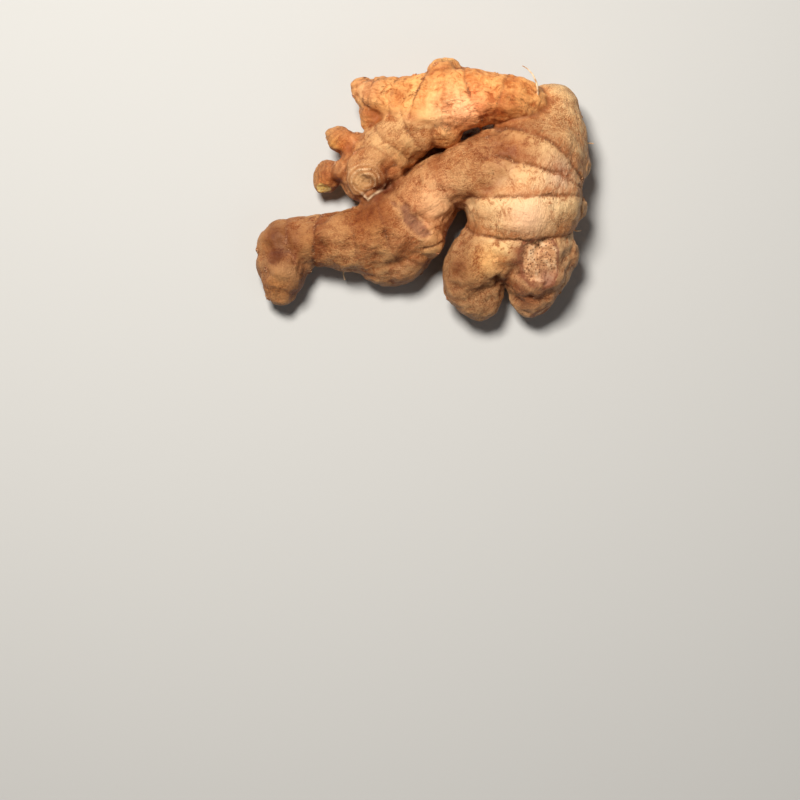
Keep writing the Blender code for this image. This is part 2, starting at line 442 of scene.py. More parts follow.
# Broken ends and rubbed scars: (point near the scar, reach, cut in millimetres, kind). The skin
# is cut back to a rough flat there.
SCARS = (
    ((31.5, -20.6, 21), 6.6, 1.7, "cork"),
    ((32.6, -33.3, 9), 3.8, 1.1, "cork"),
    ((-28.2, -0.2, 9), 2.5, 0.8, "flesh"),
)
cork, flesh, rim = np.zeros((3, len(points)))
ragged = bumps(points, 2.4, 4, 3)
broad = softened(outward(), 12)
for spot, reach, cut, kind in SCARS:
    i = lengths(points - np.array(spot)).argmin()
    facing = broad[i] / np.linalg.norm(broad[i])
    offset = points - points[i]
    above = offset @ facing + cut
    sideways = lengths(offset - np.outer(above, facing)) + ragged * 0.35 * reach
    inside = 1 - rise(sideways, reach * 0.85, reach * 1.15)
    inside *= lengths(offset) < reach * 1.6
    depth = np.clip(above + 0.25 * ragged, 0, cut * 1.5) * inside
    points = points - np.outer(depth * 0.9, facing)
    face = rise(depth, 0.02, 0.25)
    if kind == "cork":
        edge = rise(softened(face, 12), 0.04, 0.22) * (1 - face)
        edge *= rise(spot[0] - points[:, 0], 0.0, 2.0) * rise(ragged, -0.6, -0.1)
        rim = np.maximum.reduce((rim, face * (1 - rise(depth, 0.3, 0.75)), edge))
    marked = cork if kind == "cork" else flesh
    marked[:] = np.maximum(marked, face)

# A torn patch of skin on the lower finger: its corners, seen from above.
TEAR = ((-8.3, -4.8), (-4.8, -4.6), (1.6, -12.4), (0.2, -14.4), (-4.2, -12.2))
corners = np.array(TEAR)
middle = corners.mean(0)
tear_edge = np.full(len(points), -np.inf)
for a, b in zip(corners, np.roll(corners, -1, axis=0)):
    normal = np.array((b[1] - a[1], a[0] - b[0])) / math.dist(a, b)
    normal *= math.copysign(1, (a - middle) @ normal)
    tear_edge = np.maximum(tear_edge, (points[:, :2] - a) @ normal)
on_top = rise(outward()[:, 2], 0.1, 0.35)
torn = rise(-(tear_edge + 0.9 * ragged), -0.5, 1.1) * on_top
tear_lip = ridge(tear_edge + 0.7 * ragged, 0.3, 0.35) * on_top
tear_lip *= rise(-points[:, 0] - points[:, 1], 10.5, 13.0)

# The bud's outermost scale leaf ends in a thin pale hem, seen from above as a bent line. It
# stays clear of the lower finger under it.
HEM = ((-17.2, -1.6), (-15.6, -3.6), (-14.2, -2.4), (-11.8, -0.6), (-10.8, 0.6))
hem_away = np.full(len(points), np.inf)
for a, b in zip(np.array(HEM), np.array(HEM[1:])):
    share = np.clip((points[:, :2] - a) @ (b - a) / ((b - a) @ (b - a)), 0, 1)
    hem_away = np.minimum(hem_away, lengths(points[:, :2] - a - np.outer(share, b - a)))
hem = ridge(hem_away, 0, 0.26) * rise(points[:, 2], 8.0, 10.0)
hem *= nearness[list(LOBES).index("lower_finger")] > 1.0

# Swellings and hollows of the flesh under the skin: (point near it, radius, height).
SWELLINGS = (
    ((0.5, 19, 24.5), 4.2, 1.2), ((14.5, 20.5, 25.5), 3.6, 1.1), ((23, 20, 24.5), 4, 1.2),
    ((8, 20.5, 25.5), 2.6, -0.5), ((18, 18.5, 24.5), 2, -0.3), ((-6.5, 23.5, 20), 3, -0.8),
    ((-13, 24.5, 17), 3.5, 0.9), ((8.5, 15, 22), 3, 0.7), ((26.5, -10, 28), 7, 0.9),
    ((38.5, -5, 22), 4, 0.9), ((35, 11.5, 22), 5, 0.8), ((36.5, 21.5, 18), 4, 0.7),
    ((22.5, 1, 27), 5.5, -0.5), ((22.5, 9, 25), 4, 0.6), ((1.5, -6, 21), 4.5, 1.3),
    ((9.5, 1.5, 22), 4, 0.8), ((-24.5, -10.5, 16), 4, 0.8), ((-39, -17.5, 14), 2.6, -1.2),
    ((-38, -23, 14), 4, 0.9), ((-41.5, -14, 10), 3, 0.9), ((-28.5, -16, 16), 2.6, -0.9),
    ((-13, -11.5, 19.5), 5, 0.8), ((-19.5, -16.5, 17.5), 3, -0.6), ((8, -21, 19), 4, 0.9),
    ((14.5, -27, 19), 4, 0.8), ((20, -25.2, 18.5), 1, -1.2), ((20.6, -26.4, 17.5), 1, -1.3),
    ((21.2, -27.6, 16), 1, -1.2), ((21, -16.5, 23), 3, -0.6), ((-13.5, 7, 20), 4, 0.7),
    ((0.5, -14.5, 18), 3.5, 1.1), ((-18, 4.5, 18), 3, 0.7), ((30, -26.5, 19), 4, 0.5),
    ((-2, -20, 13), 3.5, 0.7), ((26, -28.5, 15), 1.8, 0.7), ((30, -31.5, 13), 1.7, 0.7),
    ((33.5, -28.5, 13), 1.8, 0.7), ((28.8, -29, 16), 1.1, -0.6),
)
normals = outward()
lift = np.zeros(len(points))
for spot, radius, height in SWELLINGS:
    lift += height * ridge(distance_from(spot), 0, radius)
points = points + normals * lift[:, None]
move_skin(points)
normals = outward()
onion = on_bud * ridge(from_tip, 1.5, 3.6)
onion_lines = onion * np.sin(from_tip * 2 * math.pi / BUD_LINES_APART + 4.0 * bumps(points, 4.0, 12))

# The skin's relief, in millimetres: lumps, the grain along and across each lobe, pits and marks.
lumpy = softened(1 - 0.5 * on_lobe("main_stem"), 40)
lumps = lumpy * (0.9 * bumps(points, 5.0, 6) + 0.36 * bumps(points, 2.4, 7, 2))
swelling = 0.8 * bumps(points, 11.0, 5) + lumps
streaks = bumps(grain * (0.14, 0.8, 0.8), 1.0, 8, 2)
hoops = bumps(grain * (0.75, 0.05, 0.05), 1.0, 9, 2)
pits = np.clip(bumps(points, 1.5, 10) - 0.42, 0, 1)
calm = 1 - 0.75 * np.maximum(cork, flesh)
relief = swelling + calm * (ring_height + 0.11 * streaks + 0.05 * hoops) - 0.8 * pits
relief += 0.1 * np.maximum(cork, flesh) * bumps(points, 1.1, 11, 2) + 0.16 * rim
relief += 0.045 * onion_lines + 0.3 * hem
relief += 0.16 * tear_lip - 0.32 * torn - 0.28 * seam
points = softened(points + normals * relief[:, None], 1, 0.6)
points[:, 2] = np.maximum(points[:, 2], 0)
low, high = [np.array(corner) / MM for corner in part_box("ginger_rhizome")]
points[:, :2] += ((low + high) / 2 - bare_middle)[:2]
move_skin(points)

# How deep each point lies in the hollows round it, the small ones and the large folds.
# The skin's colour uses both: painted shade in the hollows and folds, painted highlights on the ridges.
hollow, fold = [((softened(points, passes) - points) * outward()).sum(1) for passes in (14, 150)]

# The skin's own colour differs from lobe to lobe: tan on the stem, orange on the fingers.
LOBE_COLOURS = {
    "main_stem": (0.74, 0.36, 0.135), "upper_finger": (0.84, 0.305, 0.075),
    "finger_chin": (0.7, 0.25, 0.06), "finger_web": (0.3, 0.1, 0.03),
    "bud_branch": (0.62, 0.25, 0.08), "lower_finger": (0.47, 0.17, 0.05),
    "end_lobe": (0.36, 0.13, 0.042), "stem_foot_left": (0.43, 0.165, 0.055),
    "stem_foot_right": (0.56, 0.24, 0.09), "spur": (0.56, 0.21, 0.06),
    "finger_belly": (0.36, 0.13, 0.04),
}
KNOB_COLOURS = {"upper_finger": (0.8, 0.3, 0.078), "main_stem": (0.56, 0.25, 0.095)}
KNOB_COLOURS["stem_foot_right"] = KNOB_COLOURS["main_stem"]
BUD_COLOUR = (0.5, 0.19, 0.058)
BLEND_PASSES = 90
joined = softened(ridge(apart, 0, 0.16), 3)
knob_colours = [KNOB_COLOURS.get(owner, BUD_COLOUR) for owner in owners]
colours = np.array([*LOBE_COLOURS.values(), *knob_colours])
tint = softened(colours[lobe_of], BLEND_PASSES)

# Parts of a lobe lighter or darker than the rest of it: (point near it, radius, share of the
# lobe's red, green and blue). Some are the skin's own colour: the scar's dark rim, the yellow
# flesh on the nubs, the pinkish stem. The rest are painted light and shade: painted highlights
# where the light falls on lumps, painted shade under the bud, at the finger's root and on the
# lobes' far sides.
TONES_AND_PAINTED_LIGHT = (
    ((6.9, 19.3, 24), 4.5, (1.19, 1.39, 2.15)), ((14, 21.3, 25), 4, (1.28, 0.96, 1.05)),
    ((22.7, 20.9, 24), 4, (0.67, 0.48, 0.31)), ((35.4, 18.1, 21), 5, (0.87, 0.79, 0.74)),
    ((24.5, 10.1, 26), 6.5, (0.55, 0.33, 0.2)), ((27, 0.1, 28), 6, (1.19, 1.25, 1.31)),
    ((27, -9, 28), 5, (1.04, 0.91, 1.08)), ((11, -22.8, 18), 5, (0.64, 0.51, 0.35)),
    ((17.5, -20.4, 21), 3.5, (2.04, 2.22, 1.92)), ((-23.5, 12.3, 14), 4, (1.34, 1.03, 0.78)),
    ((-27.1, 3.4, 11), 4, (0.83, 0.57, 0.37)), ((2.2, -5.8, 21), 6, (1.64, 1.73, 2.13)),
    ((-15.1, -8.4, 18), 6.5, (0.65, 0.37, 0.08)), ((-33.1, -14, 15), 5.5, (0.68, 0.49, 0.29)),
    ((-40.5, -14.9, 12), 4.5, (0.54, 0.34, 0.08)), ((-40.6, -24.8, 11), 4, (1.15, 0.91, 0.55)),
    ((-10.4, 0.4, 14), 3, (0.5, 0.33, 0.22)), ((-9.8, 4.8, 18), 2.6, (0.84, 0.53, 0.34)),
    ((-15.5, 26.5, 16), 4, (0.86, 0.86, 1.12)), ((-15.4, -2.6, 15), 1.6, (0.55, 0.35, 0.24)),
    ((-6, 10, 18), 4, (1.1, 1.1, 1)), ((-25.6, 11.3, 14), 1.7, (1.3, 1.62, 1.3)),
    ((-28.4, 1.8, 11), 1.5, (1.5, 1.4, 1.1)), ((25, -17.2, 22), 1.4, (0.45, 0.22, 0.16)),
    ((24.6, -20.6, 21), 1.3, (0.4, 0.18, 0.14)), ((26, -23.9, 20), 1.3, (0.45, 0.22, 0.16)),
    ((26.2, -27, 17), 1.5, (0.6, 0.36, 0.28)), ((30, -29, 15), 4.5, (0.72, 0.52, 0.42)),
    ((35.5, 2.5, 25), 4, (0.96, 0.9, 1.15)), ((-36.2, -23.5, 10), 2.6, (0.62, 0.45, 0.34)),
)
for spot, radius, share in TONES_AND_PAINTED_LIGHT:
    weight = ridge(distance_from(spot), 0, radius * 1.3)
    tint *= 1 + weight[:, None] * (np.array(share) - 1)


def patches(spots):
    """The strongest of the spots at each point of the skin; each fades out over its radius."""
    strongest = np.zeros(len(points))
    for spot, radius, strength in spots:
        strongest = np.maximum(strongest, strength * ridge(distance_from(spot), 0, radius))
    return strongest


# Brown stains where the skin is bruised, and painted shade where it lies in a fold, in a
# hollow or under the bud: (point near it, radius, strength).
STAINS_AND_SHADE = (
    ((-10.5, 0.5, 16), 3.2, 0.8), ((-13.5, -3, 14), 2.5, 0.7), ((15, -8.5, 22), 4.5, 0.5),
    ((9, -22, 19), 3.2, 0.7), ((15.5, -28, 18), 2.6, 0.6), ((-6.5, 23.5, 20), 3, 0.3),
    ((5.5, 16, 24), 2.6, 0.5), ((12.5, 15, 23), 4, 0.55), ((19, 14, 22), 4, 0.5),
    ((28.5, 15.5, 22), 3.5, 0.5), ((34.5, 8, 22), 4, 0.5), ((37.5, -2, 20), 4, 0.45),
    ((36.5, -10.5, 20), 4, 0.5), ((-14.5, -7.5, 18), 5, 0.65), ((-5, -16, 18), 4.5, 0.5),
    ((-29.5, -11, 15), 3.5, 0.5), ((-41.5, -13, 12), 4, 0.6), ((-40.5, -19.5, 13), 3, 0.8),
    ((-35.5, -27.5, 9), 4, 0.6), ((-21.5, 10.5, 15), 2.4, 0.6), ((-24, 3.5, 12.5), 2.6, 0.7),
    ((5.5, 29.5, 18), 3.5, 0.6), ((-14.5, 20, 16), 4, 0.7), ((21, -21.5, 22), 3.5, 0.6),
    ((33.8, -25.6, 17), 3.2, 0.9), ((28, -30, 14), 4, 0.6), ((23.5, -14.5, 25), 3, 0.35),
    ((2.5, 6.5, 20), 3.5, 0.5),
)

# Painted highlights, pale places where the light falls on the tops of lumps: (point near it,
# radius, strength).
PAINTED_HIGHLIGHTS = (
    ((0.3, 18.8, 24), 4, 0.8), ((14.2, 20.4, 25), 3.2, 0.8), ((22.7, 20.4, 24), 3, 0.5),
    ((27.7, -9.6, 28), 6.5, 1), ((31, 7, 27), 5, 0.5), ((20, 2, 25), 5, 0.5),
    ((-16.6, 0.6, 19.5), 2.8, 1.2), ((3, -6.6, 21), 5, 0.8), ((-39.4, -24, 14), 3, 0.7),
    ((-40.6, -21, 13), 2.2, 0.6), ((17.6, -20.3, 20), 3.4, 0.7), ((-17.5, 26, 17), 3, 0.3),
    ((-25, -12, 17), 3.5, 0.4),
)

# Where the skin has cracked, besides a little all over the upper finger: (point near it, radius).
CRACKED = (
    ((4.5, 15.5, 24), 2.6), ((17.5, 18.5, 25), 2), ((2.5, 22.5, 23.5), 1.6), ((-28, -13.5, 16.5), 2.2),
    ((1.5, -12.5, 18), 2.2), ((25.5, -16.5, 26), 2.6), ((-10, -13.5, 20), 1.8), ((29, -29.5, 14), 4),
    ((20, -14.5, 24), 2.2), ((26, -22, 21), 2.2), ((18, 3.5, 24), 1),
)
crack_patches = patches([(spot, radius, 1.0) for spot, radius in CRACKED])

# What the materials read off the skin: numbers, then vectors.
for name, values in {
    "waxy": softened(on_lobe("upper_finger"), 60),
    "cracked": np.maximum(0.35 * softened(on_lobe("upper_finger"), 40), crack_patches),
    "ring": np.clip(ring_line * calm + 0.5 * seam, 0, 1),
    "band": ring_band, "below": softened(ring_pale, 3), "hollow": hollow, "joined": joined,
    "cork": cork, "flesh": flesh, "rim": np.clip(rim, 0, 1), "lip": tear_lip, "torn": torn,
    "stain_and_shade": patches(STAINS_AND_SHADE), "painted_highlight": patches(PAINTED_HIGHLIGHTS),
    "fold": fold, "onion": onion_lines, "hem": hem,
}.items():
    made = fused.attributes.new(name, "FLOAT", "POINT")
    made.data.foreach_set("value", values.astype(np.float32))
# The grain starts elsewhere on each lobe.
LOBE_SHIFT = (37, 11, 23)
shifted = grain + np.outer(lobe_of, LOBE_SHIFT)
for name, rows in {"grain": shifted, "tint": tint, "along": along_lobe}.items():
    made = fused.attributes.new(name, "FLOAT_VECTOR", "POINT")
    made.data.foreach_set("vector", rows.astype(np.float32).ravel())
fused.shade_smooth()


def node(tree, kind, inputs=(), **settings):
    """A shader node with its settings made, and its inputs set or linked."""
    made = tree.nodes.new(kind if "Node" in kind else "ShaderNode" + kind)
    for name, value in settings.items():
        setattr(made, name, value)
    for socket, value in dict(inputs).items():
        if isinstance(value, bpy.types.NodeSocket):
            tree.links.new(value, made.inputs[socket])
        else:
            made.inputs[socket].default_value = value
    return made


def new_material(name):
    """A material with its node tree and its shader node."""
    material = bpy.data.materials.new(name)
    material.use_nodes = True
    return material, material.node_tree, material.node_tree.nodes["Principled BSDF"]


def attribute(tree, name, output="Fac"):
    """What the mesh carries under that name."""
    return node(tree, "Attribute", attribute_name=name).outputs[output]


def maths(tree, how, a, b=0.0, clamp=False):
    """Numbers a and b, added, multiplied and so on; clamp keeps the result within 0 to 1."""
    return node(tree, "Math", {0: a, 1: b}, operation=how, use_clamp=clamp).outputs[0]


def times(tree, a, b, clamp=False):
    return maths(tree, "MULTIPLY", a, b, clamp)


def mapped(tree, value, low, high, to_low=0.0, to_high=1.0):
    """The value mapped from low..high to to_low..to_high, clamped."""
    inputs = {0: value, 1: low, 2: high, 3: to_low, 4: to_high}
    return node(tree, "MapRange", inputs, clamp=True).outputs[0]


def mixed(tree, share, a, b, how="MIX"):
    """Colour a with share of colour b."""
    made = node(tree, "Mix", {0: share, 6: a, 7: b}, data_type="RGBA", blend_type=how)
    return made.outputs[2]


def mixed_value(tree, share, a, b):
    """Number a with share of number b."""
    return node(tree, "Mix", {0: share, 2: a, 3: b}, data_type="FLOAT").outputs[0]


def link_up(tree, shader, colour, roughness, height=None, strength=1.0, distance=0.0):
    """Gives the shader its colour and roughness, and bumps where there is a height."""
    tree.links.new(colour, shader.inputs["Base Color"])
    tree.links.new(roughness, shader.inputs["Roughness"])
    if height:
        bump = node(tree, "Bump", {"Height": height, "Strength": strength, "Distance": distance})
        tree.links.new(bump.outputs[0], shader.inputs["Normal"])


def layered(tree, colour, layers):
    """The colour under layers of (value, low, high, share at low, share at high, tone)."""
    for value, low, high, at_low, at_high, tone in layers:
        colour = mixed(tree, mapped(tree, value, low, high, at_low, at_high), colour, tone)
    return colour


def stretched(tree, vector, scale):
    """The vector with each of its axes scaled."""
    return node(tree, "Mapping", {"Vector": vector, "Scale": scale}).outputs[0]


def in_mm(tree):
    """The place on the object, in millimetres."""
    return stretched(tree, node(tree, "TexCoord").outputs["Object"], [1 / MM] * 3)


def cloud(tree, vector, scale, detail, rough, warp=0.0):
    """Noise from 0 to 1 with so many lumps to the millimetre."""
    inputs = {"Vector": vector, "Scale": scale, "Detail": detail, "Roughness": rough, "Distortion": warp}
    return node(tree, "TexNoise", inputs).outputs[0]


def ramp(tree, value, stops):
    """A colour read off stops of (place, colour)."""
    made = node(tree, "ValToRGB", {0: value})
    while len(made.color_ramp.elements) < len(stops):
        made.color_ramp.elements.new(0.5)
    for element, (place, colour) in zip(made.color_ramp.elements, stops):
        element.position = place
        element.color = (*colour, 1)
    return made.outputs[0]


def ginger_skin_material():
    """Thin corky skin, mottled and fibrous, with all the marks that the mesh carries."""
    material, tree, shader = new_material("ginger_skin")
    mm = in_mm(tree)
    grain = attribute(tree, "grain", "Vector")
    mottle = cloud(tree, mm, 0.12, 4, 0.6, 0.4)
    blotch = cloud(tree, mm, 0.38, 6, 0.68, 0.8)
    scurf = cloud(tree, stretched(tree, grain, (0.34, 0.75, 0.75)), 1.0, 6, 0.72, 0.9)
    fibre = cloud(tree, stretched(tree, grain, (0.5, 1.2, 1.2)), 1.0, 5, 0.7, 0.8)
    thread = cloud(tree, stretched(tree, grain, (1.3, 2.7, 2.7)), 1.0, 3, 0.65, 0.5)
    hoop = cloud(tree, stretched(tree, grain, (1.0, 0.1, 0.1)), 1.0, 4, 0.65, 0.5)
    grit = cloud(tree, mm, 2.1, 3, 0.65)
    stipple = cloud(tree, mm, 3.2, 2, 0.6)

    # The young skin of the upper finger is waxy, with fewer small marks.
    waxy = times(tree, attribute(tree, "waxy"), 0.6)
    stipple, thread, scurf = [mixed_value(tree, waxy, noisy, 0.5) for noisy in (stipple, thread, scurf)]

    # The grain of one lobe fades out where the next one starts.
    clear = maths(tree, "SUBTRACT", 1.0, attribute(tree, "joined"), True)
    fibre, thread, hoop = [mixed_value(tree, clear, 0.5, noisy) for noisy in (fibre, thread, hoop)]

    # The skin itself: its tint, with the painted light and shade it carries, and a paler, a deeper
    # and a brown tone of it.
    tint = attribute(tree, "tint", "Vector")
    pale = mixed(tree, 1.0, tint, (1.14, 1.55, 2.0, 1), "MULTIPLY")
    pale = mixed(tree, 0.12, pale, (0.98, 0.62, 0.3, 1))
    deep = mixed(tree, 1.0, tint, (0.54, 0.37, 0.27, 1), "MULTIPLY")
    brown = mixed(tree, 1.0, tint, (0.34, 0.22, 0.17, 1), "MULTIPLY")
    darker = mixed(tree, 0.25, tint, deep)
    lighter = mixed(tree, 0.6, tint, pale)
    colour = mixed(tree, mapped(tree, mottle, 0.38, 0.62), darker, lighter)
    hollow = attribute(tree, "hollow")
    fold = attribute(tree, "fold")
    colour = layered(tree, colour, (
        (blotch, 0.52, 0.62, 0.0, 0.85, pale),
        (blotch, 0.39, 0.49, 0.85, 0.0, deep),
        (scurf, 0.34, 0.46, 0.75, 0.0, deep),
        (fibre, 0.36, 0.52, 0.45, 0.0, deep),
        (thread, 0.53, 0.67, 0.0, 0.65, pale),
        (thread, 0.33, 0.46, 0.6, 0.0, brown),
        (hoop, 0.32, 0.44, 0.3, 0.0, brown),
        (stipple, 0.36, 0.47, 0.65, 0.0, brown),
        (stipple, 0.54, 0.64, 0.0, 0.65, pale),
        # Painted shade in hollows and folds, painted highlights on ridges.
        (hollow, -0.03, -0.3, 0.0, 0.5, pale),
        (hollow, 0.02, 0.35, 0.0, 0.9, brown),
        (fold, 0.0, 0.9, 0.0, 0.75, brown),
        (fold, -0.2, -0.9, 0.0, 0.35, pale),
    ))

    # The bud's tip has whitish rings. Painted highlights go pale, and bruises and painted shade go
    # brown, both broken up by the blotches.
    onion = attribute(tree, "onion")
    threads = mapped(tree, thread, 0.46, 0.56, 0.05, 0.7)
    whitish = times(tree, mapped(tree, onion, 0.05, 0.55), threads)
    colour = mixed(tree, whitish, colour, (0.97, 0.68, 0.42, 1))
    uneven = maths(tree, "SUBTRACT", blotch, 0.5)
    highlight_and_blotch = maths(tree, "ADD", attribute(tree, "painted_highlight"), uneven)
    colour = layered(tree, colour, (
        (onion, -0.1, -0.6, 0.0, 0.6, deep),
        (highlight_and_blotch, 0.15, 0.8, 0.0, 0.8, pale),
    ))
    below = times(tree, attribute(tree, "below"), mapped(tree, blotch, 0.38, 0.55))
    colour = mixed(tree, times(tree, below, 0.8, True), colour, pale)
    band = times(tree, attribute(tree, "band"), mapped(tree, fibre, 0.4, 0.6, 1.0, 0.35))
    colour = mixed(tree, times(tree, band, 0.75, True), colour, deep)
    stain_and_shade_amount = maths(tree, "ADD", attribute(tree, "stain_and_shade"), times(tree, uneven, 1.6))
    colour = layered(tree, colour, (
        (stain_and_shade_amount, 0.25, 0.75, 0.0, 0.75, deep),
        (stain_and_shade_amount, 0.5, 0.85, 0.0, 0.45, brown),
    ))

    # Rubbed scars show pale cork with dark dots; broken ends show yellow flesh.
    dots = node(tree, "TexVoronoi", {"Vector": mm, "Scale": 1.25}).outputs["Distance"]
    cork_tones = ((0.37, (0.34, 0.13, 0.055)), (0.5, (0.68, 0.34, 0.155)), (0.63, (0.92, 0.58, 0.32)))
    cork_tone = mixed(tree, attribute(tree, "stain_and_shade"), ramp(tree, blotch, cork_tones), (0.3, 0.13, 0.08, 1))
    cork_tone = layered(tree, cork_tone, ((dots, 0.18, 0.4, 0.95, 0.0, (0.22, 0.08, 0.035, 1)),))
    colour = mixed(tree, attribute(tree, "cork"), colour, cork_tone)
    flesh_tones = ((0.36, (0.85, 0.43, 0.09)), (0.5, (1.0, 0.68, 0.2)), (0.66, (1.0, 0.84, 0.42)))
    colour = mixed(tree, attribute(tree, "flesh"), colour, ramp(tree, grit, flesh_tones))

    # The torn patch is bare and dark with a pale lip, and the bud's scale leaf has a pale hem.
    bare = mixed(tree, mapped(tree, scurf, 0.4, 0.62), (0.17, 0.062, 0.036, 1), (0.4, 0.17, 0.085, 1))
    for name, share, tone in (
        ("torn", 0.75, bare), ("lip", 0.2, (0.88, 0.5, 0.24, 1)), ("hem", 0.9, (0.95, 0.68, 0.42, 1)),
    ):
        colour = mixed(tree, times(tree, attribute(tree, name), share, True), colour, tone)

    # Rings, rims and seams are thin brown lines, broken into dashes.
    dashes = mapped(tree, grit, 0.36, 0.58, 0.45, 1.0)
    line = times(tree, attribute(tree, "ring"), dashes, True)
    colour = mixed(tree, times(tree, line, 0.9), colour, (0.2, 0.075, 0.03, 1))
    colour = mixed(tree, times(tree, attribute(tree, "rim"), 0.9), colour, (0.23, 0.07, 0.03, 1))

    # Root pores, in one cell of five, and short cracks.
    cells = node(tree, "TexVoronoi", {"Vector": mm, "Scale": 0.62})
    drawn = node(tree, "SeparateColor", {0: cells.outputs["Color"]}).outputs[0]
    pore = mapped(tree, cells.outputs["Distance"], 0.05, 0.22, 0.7, 0.0)
    pore = times(tree, pore, mapped(tree, drawn, 0.8, 0.84))
    wrinkle = cloud(tree, stretched(tree, grain, (0.2, 0.34, 0.34)), 1.0, 4, 0.62, 0.6)
    nearby = maths(tree, "ABSOLUTE", maths(tree, "SUBTRACT", wrinkle, 0.5))
    dry = maths(tree, "ADD", mottle, times(tree, attribute(tree, "cracked"), 0.25))
    crack = mapped(tree, nearby, 0.002, 0.01, 1.0, 0.0)
    crack = times(tree, crack, mapped(tree, dry, 0.6, 0.68))
    marks = maths(tree, "MAXIMUM", pore, crack)
    colour = mixed(tree, times(tree, marks, 0.5), colour, (0.24, 0.08, 0.028, 1))

    # Satin, and duller along the rings.
    roughness = mapped(tree, blotch, 0.3, 0.7, 0.62, 0.44)
    roughness = maths(tree, "ADD", roughness, times(tree, line, 0.25), True)
    shader.inputs["Specular IOR Level"].default_value = 0.22

    height = times(tree, fibre, 0.5)
    for value, share in ((thread, 0.45), (grit, 0.35), (hoop, 0.25), (marks, -0.22), (line, -0.4)):
        height = maths(tree, "ADD", height, times(tree, value, share))
    link_up(tree, shader, colour, roughness, height, 1.0, 0.7 * MM)
    return material


fused.materials.clear()
fused.materials.append(ginger_skin_material())
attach(root, "root")
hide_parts("ginger_rhizome")


# ========================================
# Dry scale leaves. A thin scale once wrapped each growth ring; after washing only its frayed
# fibres are left, a fringe of short brown slivers that lie along the skin and point outwards.

FRINGE = {"Slivers per m2": 3.0e6, "Length": 1.5 * MM, "Width": 0.34 * MM, "Lowest": 2.5 * MM}


def new_tree(name, sizes):
    """A Geometry Nodes tree with a geometry in and out and one named input per size."""
    tree = bpy.data.node_groups.new(name, "GeometryNodeTree")
    tree.interface.new_socket("Geometry", in_out="OUTPUT", socket_type="NodeSocketGeometry")
    tree.interface.new_socket("Geometry", in_out="INPUT", socket_type="NodeSocketGeometry")
    for size in sizes:
        tree.interface.new_socket(size, in_out="INPUT", socket_type="NodeSocketFloat")
    return tree, tree.nodes.new("NodeGroupInput").outputs


def grow(name, start, tree, sizes, shape, material):
    """Adds the piece: what the tree makes of the mesh start, as a plain mesh."""
    real = node(tree, "GeometryNodeRealizeInstances", {0: shape}).outputs[0]
    coloured = node(tree, "GeometryNodeSetMaterial", {"Geometry": real, "Material": material}).outputs[0]
    tree.links.new(coloured, tree.nodes.new("NodeGroupOutput").inputs[0])
    piece = add_object(name, start)
    modifier = piece.modifiers.new(name, "NODES")
    modifier.node_group = tree
    for socket in tree.interface.items_tree:
        if socket.name in sizes:
            modifier[socket.identifier] = sizes[socket.name]
    make_plain(piece).shade_smooth()
    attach(piece, "root")


def read(tree, name, kind="FLOAT"):
    """A named attribute of the skin."""
    return node(tree, "GeometryNodeInputNamedAttribute", {"Name": name}, data_type=kind).outputs[0]


def height_here(tree):
    """How high above the table the point is."""
    place = node(tree, "GeometryNodeInputPosition").outputs[0]
    return node(tree, "SeparateXYZ", {0: place}).outputs[2]


def facing_out(tree, normal, low_turn, high_turn, seed):
    """A rotation: Z along the normal, X along the lobe, then a random turn about each axis."""
    upright = node(tree, "FunctionNodeAlignRotationToVector", {"Vector": normal}, axis="Z").outputs[0]
    inputs = {"Rotation": upright, "Vector": read(tree, "along", "FLOAT_VECTOR")}
    ahead = node(tree, "FunctionNodeAlignRotationToVector", inputs, axis="X", pivot_axis="Z").outputs[0]
    range_of_turns = {0: low_turn, 1: high_turn, "Seed": seed}
    turn = node(tree, "FunctionNodeRandomValue", range_of_turns, data_type="FLOAT_VECTOR")
    turned = node(tree, "FunctionNodeEulerToRotation", {0: turn.outputs[0]}).outputs[0]
    return node(tree, "FunctionNodeRotateRotation", {0: ahead, 1: turned}, rotation_space="LOCAL").outputs[0]


def sliver_material():
    """Dry brown fibre, paler where it is thin."""
    material, tree, shader = new_material("dry_scale_fibre")
    mm = in_mm(tree)
    shades = ((0.35, (0.17, 0.065, 0.026)), (0.5, (0.34, 0.145, 0.055)), (0.65, (0.56, 0.29, 0.13)))
    colour = ramp(tree, cloud(tree, mm, 0.9, 3, 0.6), shades)
    rough = mapped(tree, cloud(tree, mm, 2.5, 2, 0.6), 0.3, 0.7, 0.62, 0.82)
    link_up(tree, shader, colour, rough, cloud(tree, mm, 5.0, 2, 0.6), 0.5, 0.1 * MM)
    return material


tree, given = new_tree("scale_fringe", FRINGE)
on_ring = node(tree, "MapRange", {0: read(tree, "ring"), 1: 0.35, 2: 0.9}).outputs[0]
clear_of_table = node(tree, "FunctionNodeCompare", {0: height_here(tree), 1: given["Lowest"]}).outputs[0]
spread = node(tree, "GeometryNodeDistributePointsOnFaces", {
    "Mesh": given["Geometry"], "Seed": 5,
    "Density": times(tree, times(tree, on_ring, clear_of_table), given["Slivers per m2"]),
})
sliver = node(tree, "GeometryNodeMeshCone", {
    "Vertices": 5, "Radius Top": 0.02 * MM, "Radius Bottom": times(tree, given["Width"], 0.5),
    "Depth": given["Length"],
}).outputs["Mesh"]
lying = node(tree, "GeometryNodeTransform", {
    "Geometry": sliver, "Rotation": (0, math.radians(90), 0), "Scale": (1, 1, 0.4),
}).outputs[0]
size = node(tree, "FunctionNodeRandomValue", {2: 0.45, 3: 1.3, "Seed": 9}).outputs[1]
slivers = node(tree, "GeometryNodeInstanceOnPoints", {
    "Points": spread.outputs["Points"], "Instance": lying, "Scale": size,
    "Rotation": facing_out(tree, spread.outputs["Normal"], (-0.2, -0.22, -0.6), (0.2, 0.02, 0.6), 3),
}).outputs[0]
grow("scale_fringe", fused.copy(), tree, FRINGE, slivers, sliver_material())


